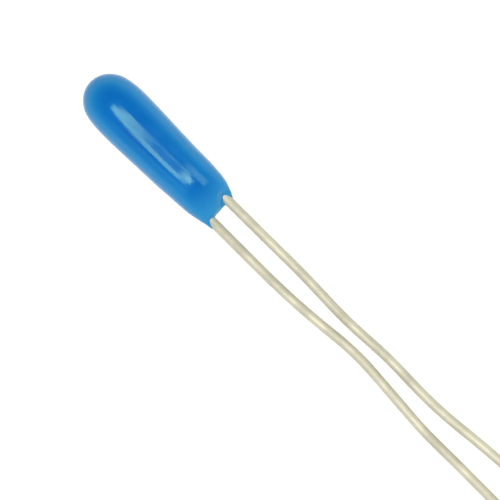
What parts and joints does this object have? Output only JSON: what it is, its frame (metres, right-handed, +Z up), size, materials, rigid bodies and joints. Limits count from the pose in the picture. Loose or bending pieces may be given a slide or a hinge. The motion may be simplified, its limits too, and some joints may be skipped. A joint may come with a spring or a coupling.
{
  "type": "bead thermistor",
  "caption": "Slim blue epoxy-dipped bead thermistor with a round nose, a slightly tapered barrel and thin, gently bent tinned wire leads, for sensing temperature.",
  "frame": {"origin": "on the bead's centre line, where the leads leave the coating; the surface that the part lies on is 1.09 mm below", "axes": "+X level along the part, from the bead towards the lead tips; +Y across the leads, towards the left one as seen from the nose; +Z up from the surface that it lies on"},
  "size_m": [0.0358, 0.0033, 0.0026],
  "materials": {
    "epoxy_coating": "gloss",
    "tinned_wire": "satin",
    "thermistor_ceramic": "matte",
    "electrode_silver": "satin",
    "solder": "satin"
  },
  "bodies": {
    "root": {"epoxy_coating": "epoxy_coating", "left_lead": "tinned_wire", "right_lead": "tinned_wire", "thermistor_chip": "thermistor_ceramic", "left_electrode": "electrode_silver", "right_electrode": "electrode_silver", "left_solder_joint": "solder", "right_solder_joint": "solder"}
  },
  "joints": []
}
